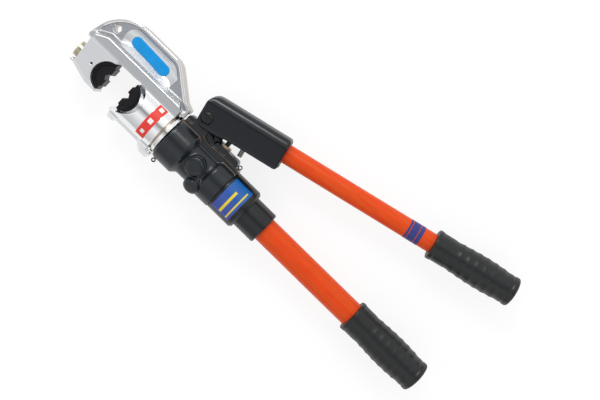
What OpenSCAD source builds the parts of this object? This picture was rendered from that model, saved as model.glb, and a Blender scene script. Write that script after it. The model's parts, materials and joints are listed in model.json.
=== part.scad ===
// Hydraulic crimping tool: a C-shaped head with two dies, a hand pump and two long handles.
// Millimetres. The origin is the crimp centre: on the ram's axis, at the fixed die's face.
// +X runs along the ram towards the fixed grip, +Y towards the pump handle, +Z is the upper side.

/* [Dies and ram] */
// Radius of the dies' round backs
die_r = 20; // [17:0.5:22]
// Distance from a die's face to the centre of its round back
die_depth = 1; // [0.5:0.5:4]
// Half width of a die across the jaw
die_half = 11; // [9:0.5:15]
// Opening between the die faces at rest
die_gap = 29.5; // [26:0.5:32]
// Across-flats size of the hexagon that the dies crimp
hex_af = 9; // [5:0.5:13]
// Wall of the ram beside its die
ram_wall = 2.4; // [2:0.1:4]
// Length of the ram
ram_len = 63.5; // [60:0.5:65]
// Radius of the return spring's outside
return_spring_r = 8; // [6:0.5:9]

/* [Head] */
// Half thickness of the flange
head_half = 20; // [18:0.5:24]
// Step from the flange down to the jaw
jaw_step = 1.2; // [0.8:0.1:2]
// Half thickness of the arch
web_half = 11; // [8:0.5:13]
// Half thickness of the bead round the arch
bead_half = 14; // [13:0.5:16]
// Width of the bead round the arch
bead_w = 4; // [3:0.5:5]
// Steel between the fixed die and the jaw's end
jaw_wall = 29.5; // [27:0.5:34]
// Wall of the jaw beside its die
jaw_side_wall = 4; // [3:0.5:5]
// Gap beside the dies, up to the flange
throat_side = 4.5; // [4:0.5:7]
// Width of the flange
flange_w = 13; // [11:0.5:15]
// Width of the sloped skirt between the flange and the arch
skirt_w = 6.5; // [5:0.5:7]
// Height of the arch's top above the flange's inner edge
arch_rise = 53.5; // [51:0.5:58]
// Half thickness left under the pocket in the arch
pocket_floor = 4; // [3:0.5:6]
// Radius of the hanging hole in the arch
hang_r = 5; // [3.5:0.25:5.5]
// Wall of the head's cylinder
cyl_wall = 7.55; // [6:0.05:9]

/* [Lock button] */
// Radius of the jaw lock button's head
button_r = 11; // [9:0.5:11.5]
// Travel of the jaw lock button
button_travel = 3; // [2:0.5:4]
// Radius of the button's stem
button_stem_r = 4; // [3.5:0.25:4.5]

/* [Swivel] */
// Width of the chrome band behind the cylinder
band_w = 8; // [6:0.5:10]
// Radius of the spigot that the head turns on
spigot_r = 20; // [18:0.5:22]
// Length of the spigot
spigot_len = 28; // [26:0.5:32]

/* [Pump body] */
// Radius of the front barrel
barrel_r = 32; // [29:0.5:34]
// Length of the front barrel
barrel_len = 32.5; // [31.5:0.5:36]
// Radius of the waist behind the barrel
waist_r = 26; // [24:0.5:27]
// Length of the waist
waist_len = 37.5; // [36:0.5:42]
// Radius of the rear collar
collar_r = 30; // [28.5:0.5:32]
// Length of the rear collar
collar_len = 23.5; // [20:0.5:28]
// Height of the pump block above the ram's axis
block_top = 39; // [37:0.5:40]
// Half thickness of the pump block
block_half = 13; // [11:0.5:14]
// Radius of the valve cap
cap_r = 11.6; // [10:0.2:12]
// Radius of the relief cap
relief_cap_r = 10.6; // [9:0.2:11]
// Tilt of the relief cap away from the valve cap
relief_tilt = 40; // [38:1:50]
// Radius of the plunger
plunger_r = 3.2; // [2.6:0.1:3.6]

/* [Fixed handle] */
// Radius of the label sleeve
sleeve_r = 28.8; // [27:0.2:30]
// Length of the label sleeve
sleeve_len = 40; // [34:0.5:48]
// Radius of the rear sleeve
rear_sleeve_r = 22.5; // [20:0.1:24]
// Length of the rear sleeve
rear_sleeve_len = 32; // [26:0.5:38]
// Radius of the fixed tube
fixed_tube_r = 16.6; // [15.5:0.1:17.5]
// Wall of the fixed tube
fixed_tube_wall = 2.5; // [2:0.1:3]
// Visible length of the fixed tube
fixed_tube_len = 154; // [130:1:180]
// Length of the fixed grip
fixed_grip_len = 115; // [96:1:130]
// Radius of the fixed grip's body
fixed_grip_r = 20; // [18.8:0.1:20.6]
// Number of ribs on a grip
rib_count = 8; // [5:1:10]
// Height of a grip's ribs
rib_h = 0.9; // [0.5:0.1:1.4]

/* [Pump handle] */
// Angle of the pump handle from the ram's axis at rest
handle_angle = 13; // [11:0.5:15]
// Height of the pivot above the ram's axis
pivot_y = 53; // [52:0.5:55]
// Radius of the pivot pin
pivot_r = 6; // [5:0.25:6.5]
// Half thickness of the fork
fork_half = 22; // [21:0.5:24]
// Thickness of the fork's cheeks
cheek_w = 6; // [5:0.25:6.5]
// Length of the fork in front of the pump tube's exit
fork_len = 115.5; // [114:0.5:119]
// Reach of the fork above the pump tube's axis
fork_up = 20; // [19.5:0.5:22]
// Reach of the fork below the pump tube's axis
fork_down = 21; // [20.5:0.5:22]
// Radius of the rounded edges of the fork
fork_round = 5; // [3:0.5:5.5]
// Radius of the pump tube
pump_tube_r = 12.55; // [12:0.05:13.2]
// Wall of the pump tube
pump_tube_wall = 2.2; // [1.6:0.1:2.6]
// Visible length of the pump tube
pump_tube_len = 214; // [190:1:250]
// Length of the pump grip
pump_grip_len = 118; // [96:1:130]
// Radius of the pump grip's body
pump_grip_r = 18; // [16.4:0.1:18.8]
// Radius of the release stub
stub_r = 3.1; // [2.5:0.1:3.4]

/* [Hidden] */
$fn = 96;

// Clearances
run_fit = 0.05;
free_gap = 0.3;
cut = 1;

// Places along the ram's axis
die_c = -die_depth;
jaw_back = die_depth + die_r + jaw_wall;
move_c = die_gap + die_depth;
ram_r = die_r + ram_wall;
ram_front = die_gap + 4;
ram_back = ram_front + ram_len;
bore_r = ram_r + run_fit;
bore_end = ram_back + 2;
cyl_r = bore_r + cyl_wall;
cyl_front = die_gap - 3.5;
cyl_back = bore_end - 4.5;
scallop_r = die_r + 2.2;
neck_back = cyl_back + band_w;
neck_r = spigot_r + 6;
spigot_back = neck_back + spigot_len;
barrel_x0 = neck_back + 1.2;
barrel_x1 = barrel_x0 + barrel_len;
collar_x0 = barrel_x1 + waist_len;
collar_x1 = collar_x0 + collar_len;
tail_len = 20;
tail_r = 24;
tail_x1 = collar_x1 + tail_len;
sleeve_x1 = collar_x1 + sleeve_len;
rear_sleeve_x1 = sleeve_x1 + rear_sleeve_len;
grip_x0 = rear_sleeve_x1 + fixed_tube_len;
grip_x1 = grip_x0 + fixed_grip_len;

// Head outline: the flange's edges, the jaw's side and the arch's corners
flange_y0 = die_r + throat_side;
flange_y1 = flange_y0 + flange_w;
jaw_half = head_half - jaw_step;
jaw_side = die_r + jaw_side_wall;
jaw_bevel = 3.5;
foot_x1 = neck_back - 0.6;
tail_y = cyl_r + free_gap;
arch_front = -jaw_back - 5.4;
arch_top = flange_y0 + arch_rise;
brow = [arch_front + 12.6, arch_top];
bend = [cyl_back - 42, arch_top];
heel = [cyl_back - 4, flange_y0 + 22.3];
arch_pts = [
    [arch_front, flange_y0, 0], [cyl_back - 1, flange_y0, 0], [cyl_back - 1, tail_y, 0], [foot_x1, tail_y, 0],
    [foot_x1, heel.y - 4.5, 1], [heel.x, heel.y, 20], [bend.x, bend.y, 25], [brow.x, brow.y, 50]
];

// Flange: its top edge, and the base of the skirt that slopes down from it to the arch
flange_front = -jaw_back + 5;
flange_nose = [flange_front + 1.5, flange_y0 + 6.5];
flange_brow = [flange_front + 14, flange_y1];
nose_way = unit(flange_brow - flange_nose);
skirt_base = skirt_w + 1;
nose_out = skirt_base * [-nose_way.y, nose_way.x];
skirt_brow = flange_brow + nose_out + (skirt_base - nose_out.y) * [nose_way.x / nose_way.y, 1];
flange_pts = [
    [flange_front, flange_y0, 0], [cyl_back, flange_y0, 0], [cyl_back, flange_y1 - 4, 2], [cyl_back - 12, flange_y1 + skirt_base, 4],
    [skirt_brow.x, skirt_brow.y, 0], [flange_nose.x + nose_out.x, flange_nose.y + nose_out.y, 0],
    [flange_front - 3, flange_y0 + 5, 2]
];

// Jaw: its end leans, so that the upper corner stands further out
jaw_low = [-jaw_back + 5.5, -button_r - 5];
jaw_knee = [die_c - 18, -jaw_side + 0.5];
jaw_pts = [
    [jaw_low.x, jaw_low.y, 3], [jaw_knee.x, jaw_knee.y, 6], [0, -jaw_side, 1], [-3, -die_r + 1, 0],
    [-3, flange_y0 + 1, 0], [-jaw_back + 1.5, flange_y0 + 1, 2]
];
ear_half = jaw_half - 2;
low_ear_pts = [
    [-jaw_back - 1, jaw_low.y + 0.5, 2.2], [jaw_low.x + 2, jaw_low.y + 0.5, 0], [jaw_low.x + 2, -button_r - 0.6, 0],
    [-jaw_back - 1, -button_r - 0.6, 1.2]
];
high_ear_pts = [
    [-jaw_back - 4, flange_y0 - 3, 3], [-jaw_back + 8, flange_y0 - 3, 0], [-jaw_back + 8, flange_y0 + 9, 0],
    [-jaw_back + 2, flange_y0 + 9, 4], [-jaw_back - 4, flange_y0 + 4.5, 3]
];
horn_pts = [
    [cyl_front - 10, flange_y0 + 1, 0], [cyl_front - 10, flange_y0, 0], [cyl_front - 5, bore_r + free_gap, 1],
    [cyl_front + 3, bore_r + free_gap, 0], [cyl_front + 3, flange_y0 + 1, 0]
];
nub_pts = [
    [cyl_front + 2.5, -cyl_r - 6, 3], [cyl_front + 15, -cyl_r - 5, 3], [cyl_front + 15, -cyl_r + 5, 0], [cyl_front + 0.5, -cyl_r + 5, 0]
];
foot_pts = [
    [cyl_back - 14.5, -cyl_r + 8, 0], [cyl_back - 14.5, -cyl_r - 3, 2], [cyl_back - 6, -cyl_r - 9, 3], [foot_x1 - 2, -cyl_r - 9, 2],
    [foot_x1, -cyl_r - 6, 1], [foot_x1, -cyl_r - 0.2, 0], [cyl_back, -cyl_r - 0.2, 0], [cyl_back, -cyl_r + 8, 0]
];
hang = [-jaw_back + 17, flange_y0 + 28];

// Pocket in the arch, its edge a constant distance inside the arch's edge
pocket_rim = 7.4;
pocket_x0 = hang.x + hang_r + 7;
pocket_x1 = cyl_back - 30.5;
pocket_y0 = flange_y1 + skirt_base + 0.2;
pocket_y1 = arch_top - pocket_rim;
heel_run = (heel.x - bend.x) / (bend.y - heel.y);
heel_reach = norm(heel - bend) / (bend.y - heel.y);
function heel_edge(y) = bend.x + (bend.y - y) * heel_run - pocket_rim * heel_reach;
pocket_pts = [
    [pocket_x0, pocket_y0, 8], [pocket_x1 - 2, pocket_y0, 5],
    [pocket_x1, bend.y - (pocket_x1 + pocket_rim * heel_reach - bend.x) / heel_run, 6],
    [heel_edge(pocket_y1), pocket_y1, 18], [pocket_x0, pocket_y1, 14]
];
plate_r = 7.3;
plate_a = [pocket_x0 + 17, pocket_y0 + 11.9];
plate_b = [pocket_x1 - 21.5, pocket_y0 + 9.9];

// Jaw lock button
button_x = -jaw_back;
button_seat = button_x + 9;
button_head_len = 10;
button_reach = die_c - die_r + 1.5;
cross_pin_x = button_seat + 15;
cross_pin_r = 1.5;

// Ram chamber and return spring
detent_end = move_c + die_r + 6;
chamber_x = detent_end + 2;
chamber_r = return_spring_r + 1;
detent_r = 2.5;
detent_x0 = move_c + die_r - 1.5;
anchor_x0 = spigot_back - 14;
anchor_x1 = anchor_x0 + 4;
oil_r = 2.2;
seal_w = 4;
seal_depth = 2.9;
seal_x0 = ram_back - 8;
backup_w = 1.5;
wiper_x0 = move_c + scallop_r + 3;
wiper_w = 3;

// Swivel
wire_r = 1;
wire_leg_r = 0.8;
wire_x = barrel_x0 + 5;
swivel_seal_x = neck_back + 16;

// Wire loop at the rear collar
clip_r = 2.2;
clip_wire = 0.7;
clip_x = collar_x1 - 3;
clip_y = collar_r + 1 + clip_r + clip_wire + free_gap;

// Printed bands: their margins, lengths, thickness and the angles that they span
print_t = 0.4;
size_band_x = wiper_x0 + 15;
size_band_w = 13;
size_band_span = [-47, 52];
notice_x = collar_x1 + 4;
notice_w = 28;
notice_span = [-48, 55];
tube_band_ends = [[37, 34], [33, 23.5], [22.5, 17]];

// Pump valves
plunger_set = 26.5;
plunger_x = barrel_x1 + plunger_set;
plunger_y0 = 8;
plunger_bottom = -6;
gland_y0 = 24;
gland_top = block_top + 3.5;
gland_r = 6.5;
release_set = 19;
release_x = plunger_x + release_set;
release_r = 5;
release_y0 = 27;
release_pin_r = 1.8;
release_travel = 2;
valve_r = 4.5;
ball_r = 4.2;
ball_sit = sqrt(pow(ball_r, 2) - pow(oil_r, 2));
delivery_x0 = spigot_back + 1;
delivery_seat_x = plunger_x - 12;
delivery_ball_x = delivery_seat_x - ball_sit;
suction_x0 = plunger_x + 5;
suction_ball_x = suction_x0 + 9;
suction_seat_x = suction_ball_x + ball_sit;
cap_back = 18.5;
cap_x = barrel_x1 + cap_back;
cap_z0 = 12;
cap_z1 = waist_r + 2;
cap_h = 7;
relief_x = cap_x + 12.5;
relief_z0 = 12;
relief_z1 = collar_r + run_fit;
relief_ball_r = 4.2;

// Pump handle: the pivot's place in the handle's own axes, and the drive pin on the plunger
pivot_x = barrel_x1 - 12.7;
pivot_front = 11.1;
pivot_back = fork_len - pivot_front;
pivot_drop = 10.9;
lug_r = pivot_r + 5.3;
lug_half = fork_half - cheek_w - 0.5;
ridge_half = lug_half - 4.5;
ridge_top = pivot_y - 12.5;
ridge_foot = 20;
ridge_run = 18;
ridge_end = 12;
block_foot = 15;
block_front = 13;
block_rear = 9;
bush_wall = 2;
drive_r = 4;
drive = [plunger_x - 0.4, pivot_y + 7];
cross_top = drive.y - drive_r - free_gap;
cross_h = 4.7;
channel_half = fork_half - cheek_w;
socket_front = 78.5;
block_len = fork_len - socket_front;
channel_roof = fork_up - 4.5;
stub_end = -34;
stub_set = 1.7;
stub_s = (release_x - pivot_x + (stub_end + pivot_drop) * sin(handle_angle)) / cos(handle_angle)
    - pivot_back + stub_set;
cam_r = 12;
cam_offset = 1.7;
cam_shaft_r = 8;
stub_top = -sqrt(pow(cam_r, 2) - pow(cam_offset, 2)) - free_gap;
pump_grip_s0 = pump_tube_len;
pump_grip_s1 = pump_grip_s0 + pump_grip_len;

// Rounded outlines: each corner is [x, y, radius]
function flat(p) = [p[0], p[1]];
function unit(v) = v / norm(v);
function corner(a, b, c, r, n) =
    r <= 0 ? [b] :
    let (u = unit(b - a), w = unit(c - b), side = sign(u.x * w.y - u.y * w.x))
    let (turn = side * acos(min(1, max(-1, u * w))), start = b - u * r * tan(abs(turn) / 2))
    let (mid = start + side * r * [-u.y, u.x], from = atan2(start.y - mid.y, start.x - mid.x))
    [for (k = [0 : n]) mid + r * [cos(from + turn * k / n), sin(from + turn * k / n)]];
function rounded(p, n = 8) =
    let (m = len(p))
    [for (i = [0 : m - 1]) each corner(flat(p[(i + m - 1) % m]), flat(p[i]), flat(p[(i + 1) % m]), p[i][2], n)];
function inset(p, d) =
    let (m = len(p))
    [for (i = [0 : m - 1])
        let (a = flat(p[(i + m - 1) % m]), b = flat(p[i]), c = flat(p[(i + 1) % m]))
        let (u = unit(b - a), w = unit(c - b), nu = [-u.y, u.x], nw = [-w.y, w.x])
        let (q = b + d * (nu + nw) / (1 + nu * nw))
        [q.x, q.y, max(0, p[i][2] - d)]];

// Grip outline: [place along the axis, radius], with wavy ribs between two flanges
flange_len = 7;
function grip_outline(len, r, flange_r) = concat(
    [[0, flange_r - 1], [1, flange_r], [flange_len - 2, flange_r], [flange_len, r]],
    [for (k = [1 : 6 * rib_count])
        [flange_len + (len - 2 * flange_len) * k / (6 * rib_count + 1), r - rib_h * (1 - cos(60 * k)) / 2]],
    [[len - flange_len, r], [len - flange_len + 2, flange_r - 0.6], [len - 2, flange_r - 0.6], [len, flange_r - 3]]);

module slab(z0, z1) { translate([0, 0, z0]) linear_extrude(z1 - z0) children(); }
module xcyl(x0, x1, r) { translate([x0, 0, 0]) rotate([0, 90, 0]) cylinder(h = x1 - x0, r = r); }
module ycyl(x, y0, y1, r) { translate([x, y0, 0]) rotate([-90, 0, 0]) cylinder(h = y1 - y0, r = r); }
module zcyl(x, y, z0, z1, r, sides = $fn) { translate([x, y, z0]) cylinder(h = z1 - z0, r = r, $fn = sides); }
module xtube(x0, x1, r, bore) {
    difference() {
        xcyl(x0, x1, r);
        xcyl(x0 - cut, x1 + cut, bore);
    }
}
module ytube(x, y0, y1, r, bore) {
    difference() {
        ycyl(x, y0, y1, r);
        ycyl(x, y0 - cut, y1 + cut, bore);
    }
}
// Solid turned round the X axis from [place, radius] points
module turned(points) {
    rotate([0, 90, 0]) rotate_extrude() polygon([for (p = points) [p[1], p[0]]]);
}
// Part of a thin band round the X axis, from one angle to another, measured from +Z towards +Y
module wrap(x0, x1, r, t, from, to) {
    rotate([0, 90, 0]) rotate([0, 0, 180 - to]) rotate_extrude(angle = to - from)
        polygon([[r, x0], [r + t, x0], [r + t, x1], [r, x1]]);
}
module in_handle() {
    translate([pivot_x, pivot_y, 0]) rotate([0, 0, handle_angle]) translate([pivot_back, pivot_drop, 0]) children();
}
module in_relief() { translate([relief_x, 0, 0]) rotate([relief_tilt, 0, 0]) children(); }
// Cuts a sloped edge: from the line a-b at height z, falling by drop over run on the left of a-b
module slope_cut(a, b, z, run, drop) {
    for (side = [-1, 1])
        translate([a.x, a.y, side * z]) rotate([0, 0, atan2(b.y - a.y, b.x - a.x)])
            rotate([-side * atan2(drop, run), 0, 0])
                translate([-3 * norm(b - a), -run, side > 0 ? 0 : -4 * drop])
                    cube([7 * norm(b - a), 6 * run, 4 * drop]);
}
module box(x0, x1, y0, y1, half) { translate([x0, y0, -half]) cube([x1 - x0, y1 - y0, 2 * half]); }

// Head
module flange() difference() {
    slab(-head_half, head_half) polygon(rounded(flange_pts));
    slope_cut(flange_nose, flange_brow, head_half, skirt_w, head_half - web_half);
    slope_cut(flange_brow, [cyl_back, flange_y1], head_half, skirt_w, head_half - web_half);
}
module jaw() difference() {
    slab(-jaw_half, jaw_half) polygon(rounded(jaw_pts));
    slope_cut([0, jaw_bevel - jaw_side], jaw_knee + [0, jaw_bevel], jaw_half, jaw_bevel, jaw_bevel);
    slope_cut(jaw_knee + [0, jaw_bevel], jaw_low + [0, jaw_bevel], jaw_half, jaw_bevel, jaw_bevel);
}
module head_frame() color("silver") difference() {
    union() {
        slab(-web_half, web_half) polygon(rounded(arch_pts, 12));
        slab(-bead_half, bead_half) difference() {
            polygon(rounded(arch_pts, 12));
            polygon(rounded(inset(arch_pts, bead_w), 12));
        }
        flange();
        jaw();
        slab(-ear_half, ear_half) polygon(rounded(low_ear_pts));
        slab(-ear_half, ear_half) polygon(rounded(high_ear_pts));
        slab(-die_half - 2, die_half + 2) polygon(rounded(horn_pts));
        slab(-9, 9) polygon(rounded(nub_pts));
        slab(-12, 12) polygon(rounded(foot_pts));
        xcyl(cyl_front, cyl_back, cyl_r);
        xcyl(cyl_back - cut, neck_back, neck_r);
        xcyl(neck_back - cut, spigot_back, spigot_r);
        box(cyl_front + 8, cyl_back, -cyl_r - 2, -cyl_r + 6, 8);
    }
    zcyl(die_c, 0, -head_half - cut, head_half + cut, die_r + run_fit);
    xcyl(cyl_front - cut, bore_end, bore_r);
    zcyl(move_c, 0, -cyl_r - cut, cyl_r + cut, scallop_r);
    xcyl(wiper_x0, wiper_x0 + wiper_w, bore_r + 2.5);
    xcyl(bore_end - cut, anchor_x1, chamber_r);
    xcyl(anchor_x1 - cut, spigot_back + cut, oil_r);
    for (side = [-1, 1])
        translate([0, 0, side * (pocket_floor + bead_half) / 2])
            slab(-(bead_half - pocket_floor) / 2, (bead_half - pocket_floor) / 2) polygon(rounded(pocket_pts, 10));
    zcyl(hang.x, hang.y, -bead_half - cut, bead_half + cut, hang_r);
    xcyl(-jaw_back - cut, button_seat, button_r + run_fit);
    xcyl(button_seat - cut, die_c, button_stem_r + run_fit);
    zcyl(cross_pin_x, 0, -head_half - cut, head_half + cut, cross_pin_r);
    xtube(wire_x - 1.1, wire_x + 1.1, spigot_r + cut, spigot_r - wire_r - 0.1);
    xtube(swivel_seal_x, swivel_seal_x + 2.5, spigot_r + cut, spigot_r - 2.5);
}
function half_round(mid, r, from, n = 16) = [for (k = [0 : n]) mid + r * [cos(from + 180 * k / n), sin(from + 180 * k / n)]];
module label_plate() color("deepskyblue")
    let (along = atan2(plate_b.y - plate_a.y, plate_b.x - plate_a.x))
    slab(pocket_floor, pocket_floor + 1)
        polygon(concat(half_round(plate_b, plate_r, along - 90), half_round(plate_a, plate_r, along + 90)));
module size_band() color("tomato")
    wrap(size_band_x, size_band_x + size_band_w, cyl_r + run_fit, print_t, size_band_span[0], size_band_span[1]);

// A die: half disc with a lip and half of a hexagonal nest, its face at x = 0, its back towards -X
module die() {
    difference() {
        union() {
            zcyl(-die_depth, 0, -die_half, die_half, die_r);
            zcyl(-die_depth, 0, -die_half - 1, die_half + 1, die_r - 5);
        }
        box(0, die_r, -2 * die_r, 2 * die_r, die_half + 2);
        zcyl(0, 0, -die_half - 2, die_half + 2, hex_af / 2 / cos(30), 6);
        for (y = [-1, 1])
            translate([0, y * die_r, 0]) box(-2, cut, -6, 6, die_half + 2);
        xcyl(-die_depth - die_r - cut, -die_depth - die_r + 8, button_stem_r + 2 * run_fit);
    }
}
module fixed_die() color("dimgray") die();
module jaw_button() color("goldenrod") difference() {
    union() {
        xcyl(button_x - 5, button_x - 5 + button_head_len, button_r);
        xcyl(button_x - 5, button_reach, button_stem_r);
    }
    for (k = [-2 : 2])
        translate([button_x - 5, k * 3.6, 0]) box(-cut, 1.6, -0.7, 0.7, button_r + cut);
    box(cross_pin_x - cross_pin_r - button_travel - free_gap, cross_pin_x + cross_pin_r + free_gap,
        -cross_pin_r - free_gap, cross_pin_r + free_gap, button_r);
}
module jaw_button_spring() color("gray")
    xtube(button_x - 5 + button_head_len, button_seat, button_r - 1.5, button_stem_r + 0.5);
module jaw_cross_pin() color("gray") zcyl(cross_pin_x, 0, -head_half + 2, head_half - 2, cross_pin_r);
module ram_wiper() color("black") xtube(wiper_x0, wiper_x0 + wiper_w, bore_r + 2.5, bore_r);
module swivel_band() color("gainsboro") xtube(cyl_back, neck_back, cyl_r - 0.6, neck_r);
module swivel_seal() color("black") xtube(swivel_seal_x, swivel_seal_x + 2.5, spigot_r, spigot_r - 2.5);
module spring_anchor() color("gray") difference() {
    union() {
        xcyl(anchor_x0, anchor_x1, chamber_r);
        xcyl(anchor_x0 - 6, anchor_x1, return_spring_r - 2.2);
    }
    xcyl(anchor_x0 - 6 - cut, anchor_x1 + cut, oil_r);
}

// Ram
module ram() color("lightsteelblue") difference() {
    xcyl(ram_front, ram_back, ram_r);
    zcyl(move_c, 0, -ram_r - cut, ram_r + cut, die_r + run_fit);
    xcyl(chamber_x, ram_back + cut, chamber_r);
    xcyl(move_c, detent_end, detent_r + run_fit);
    xtube(seal_x0, seal_x0 + seal_w + backup_w, ram_r + cut, ram_r - seal_depth);
}
module moving_die() color("dimgray") translate([die_gap, 0, 0]) mirror([1, 0, 0]) die();
module ram_seal() color("black") xtube(seal_x0, seal_x0 + seal_w, ram_r, ram_r - seal_depth);
module ram_backup_ring() color("white")
    xtube(seal_x0 + seal_w, seal_x0 + seal_w + backup_w, ram_r, ram_r - seal_depth);
module return_spring() color("gray")
    xtube(chamber_x, anchor_x0, return_spring_r, return_spring_r - 2);
module ram_detent() color("gray") xcyl(detent_x0, detent_x0 + 4.5, detent_r);
module ram_detent_spring() color("gray") xtube(detent_x0 + 4.5, detent_end, detent_r, detent_r - 1);

// Pump body
module pump_body() color([0.22, 0.23, 0.25]) difference() {
    union() {
        turned([
            [barrel_x0, 0], [barrel_x0, barrel_r - 1.5], [barrel_x0 + 1.5, barrel_r],
            [barrel_x1 - 3, barrel_r], [barrel_x1, barrel_r - 2.5], [barrel_x1 + 3.5, waist_r],
            [collar_x0 - 3, waist_r], [collar_x0, collar_r - 1.5], [collar_x0 + 1.5, collar_r],
            [collar_x1 - 1, collar_r], [collar_x1, collar_r - 1], [collar_x1, tail_r],
            [tail_x1, tail_r], [tail_x1, tail_r - 14], [tail_x1 + 11, tail_r - 14], [tail_x1 + 11, 0]
        ]);
        slab(-lug_half, lug_half) polygon(rounded([
            [barrel_x0 + 0.5, 0, 0], [collar_x1, 0, 0], [collar_x1, collar_r + 1, 3],
            [collar_x0, collar_r + 2, 20], [barrel_x1 + 8, waist_r + 4, 12], [barrel_x1 - 4, barrel_r + 2, 8],
            [barrel_x0 + 0.5, barrel_r + 1, 3]
        ]));
        slab(-ridge_half, ridge_half) polygon(rounded([
            [barrel_x0 + 0.5, ridge_foot, 0], [plunger_x - ridge_end, ridge_foot, 0],
            [plunger_x - ridge_end, ridge_top - 6, 4], [pivot_x + ridge_run, ridge_top, 8], [barrel_x0 + 0.5, ridge_top, 4]
        ]));
        slab(-lug_half, lug_half) {
            translate([pivot_x, pivot_y]) circle(lug_r);
            polygon([[pivot_x - lug_r + 2, ridge_foot], [pivot_x + lug_r + 3, ridge_foot],
                [pivot_x + lug_r, pivot_y], [pivot_x - lug_r + 2, pivot_y - 5]]);
        }
        slab(-block_half, block_half) polygon(rounded([
            [plunger_x - block_front, block_foot, 0], [release_x + block_rear, block_foot, 0],
            [release_x + block_rear, block_top - 4, 2],
            [release_x + 6.5, block_top, 2], [plunger_x - 11, block_top, 4]
        ]));
        zcyl(cap_x, 0, 0, cap_z1, cap_r + 2);
        in_relief() zcyl(0, 0, 0, relief_z1, relief_cap_r + 1);
    }
    xcyl(barrel_x0 - cut, delivery_x0, spigot_r + run_fit);
    xtube(wire_x - wire_r, wire_x + wire_r, spigot_r + wire_r + 0.1, spigot_r - cut);
    ycyl(wire_x, -barrel_r - cut, -spigot_r + cut, wire_leg_r + run_fit);
    xcyl(delivery_x0 - cut, delivery_seat_x, valve_r);
    xcyl(delivery_seat_x - cut, plunger_x, oil_r);
    xcyl(plunger_x, suction_x0 + cut, oil_r);
    xcyl(suction_x0, tail_x1 + 12, valve_r);
    ycyl(plunger_x, plunger_bottom, gland_y0, plunger_r + run_fit);
    ycyl(plunger_x, gland_y0 - seal_w, block_top + cut, gland_r);
    ycyl(release_x, release_y0, block_top + cut, release_r);
    ycyl(release_x, release_y0 - 8, release_y0 + cut, release_pin_r + 1.2);
    ycyl(release_x, valve_r + 2, release_y0, 1.2);
    zcyl(cap_x, 0, cap_z0, cap_z1 + cut, cap_r - 4);
    in_relief() zcyl(0, 0, relief_z0, relief_z1 + cut, relief_cap_r - 5);
    zcyl(pivot_x, pivot_y, -lug_half - cut, lug_half + cut, pivot_r + bush_wall);
    ycyl(clip_x, collar_r - 5, collar_r + 8, clip_wire + run_fit);
}
module swivel_wire() color("dimgray") {
    difference() {
        xcyl(wire_x - wire_r, wire_x + wire_r, spigot_r + wire_r + 0.1);
        xcyl(wire_x - wire_r - cut, wire_x + wire_r + cut, spigot_r - wire_r + 0.1);
    }
    ycyl(wire_x, -barrel_r - 1.4, -spigot_r, wire_leg_r);
    translate([wire_x, -barrel_r - 3.6, 0]) rotate_extrude() translate([2.2, 0]) circle(wire_leg_r * 1.1, $fn = 24);
}
module valve_cap() color([0.24, 0.25, 0.27]) {
    zcyl(cap_x, 0, cap_z1, cap_z1 + cap_h - 1.5, cap_r);
    translate([cap_x, 0, cap_z1 + cap_h - 1.5]) cylinder(h = 1.5, r1 = cap_r, r2 = cap_r - 1.5);
    zcyl(cap_x, 0, cap_z0 + 3, cap_z1, cap_r - 4);
}
module relief_cap() color([0.24, 0.25, 0.27]) in_relief() {
    zcyl(0, 0, relief_z1, relief_z1 + 6, relief_cap_r);
    translate([0, 0, relief_z1 + 6]) cylinder(h = 2, r1 = relief_cap_r, r2 = relief_cap_r - 3);
    zcyl(0, 0, relief_z1 - 5, relief_z1, relief_cap_r - 5);
}
module relief_ball() color("silver") in_relief() translate([0, 0, relief_z0 + relief_ball_r]) sphere(relief_ball_r);
module relief_spring() color("gray") in_relief() difference() {
    zcyl(0, 0, relief_z0 + 2 * relief_ball_r, relief_z1 - 5, relief_ball_r);
    zcyl(0, 0, relief_z0, relief_z1, relief_ball_r - 1.2);
}
module delivery_screw() color("gray") xtube(delivery_x0, delivery_x0 + 5, valve_r, oil_r);
module delivery_spring() color("gray")
    xtube(delivery_x0 + 5, delivery_ball_x - ball_r, valve_r - 0.6, valve_r - 1.8);
module delivery_ball() color("silver") translate([delivery_ball_x, 0, 0]) sphere(ball_r);
module suction_spring() color("gray") xtube(suction_x0, suction_ball_x - ball_r, valve_r - 0.6, valve_r - 1.8);
module suction_ball() color("silver") translate([suction_ball_x, 0, 0]) sphere(ball_r);
module suction_seat() color("gray") xtube(suction_seat_x, suction_seat_x + 10, valve_r, oil_r);
module intake_strainer() color("khaki") xtube(suction_seat_x + 10, tail_x1 + 11, valve_r, valve_r - 1.2);
module plunger_seal() color("black") ytube(plunger_x, gland_y0 - seal_w, gland_y0, gland_r, plunger_r + run_fit);
module plunger_gland() color("peru") difference() {
    union() {
        ycyl(plunger_x, gland_y0, block_top, gland_r);
        ycyl(plunger_x, block_top, gland_top, gland_r + 2);
    }
    ycyl(plunger_x, gland_y0 - cut, gland_top + cut, plunger_r + run_fit);
}
module plunger_spring() color("gray") ytube(plunger_x, plunger_bottom, plunger_y0, plunger_r - 0.3, plunger_r - 1.3);
module plunger() color("dimgray") {
    ycyl(plunger_x, plunger_y0, cross_top - cross_h, plunger_r);
    slab(-9, 9) polygon(rounded([
        [plunger_x - 15, cross_top - cross_h, 2], [plunger_x + 6, cross_top - cross_h, 2],
        [plunger_x + 6, cross_top, 1], [plunger_x - 15, cross_top, 1]
    ]));
}
module release_screw() color("dimgray") difference() {
    ycyl(release_x, release_y0, block_top, release_r);
    translate([release_x, block_top - 3, 0]) rotate([-90, 0, 0]) cylinder(h = 3 + cut, r = 3.2, $fn = 6);
    ycyl(release_x, release_y0 - cut, block_top + cut, release_pin_r + run_fit);
}
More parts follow.
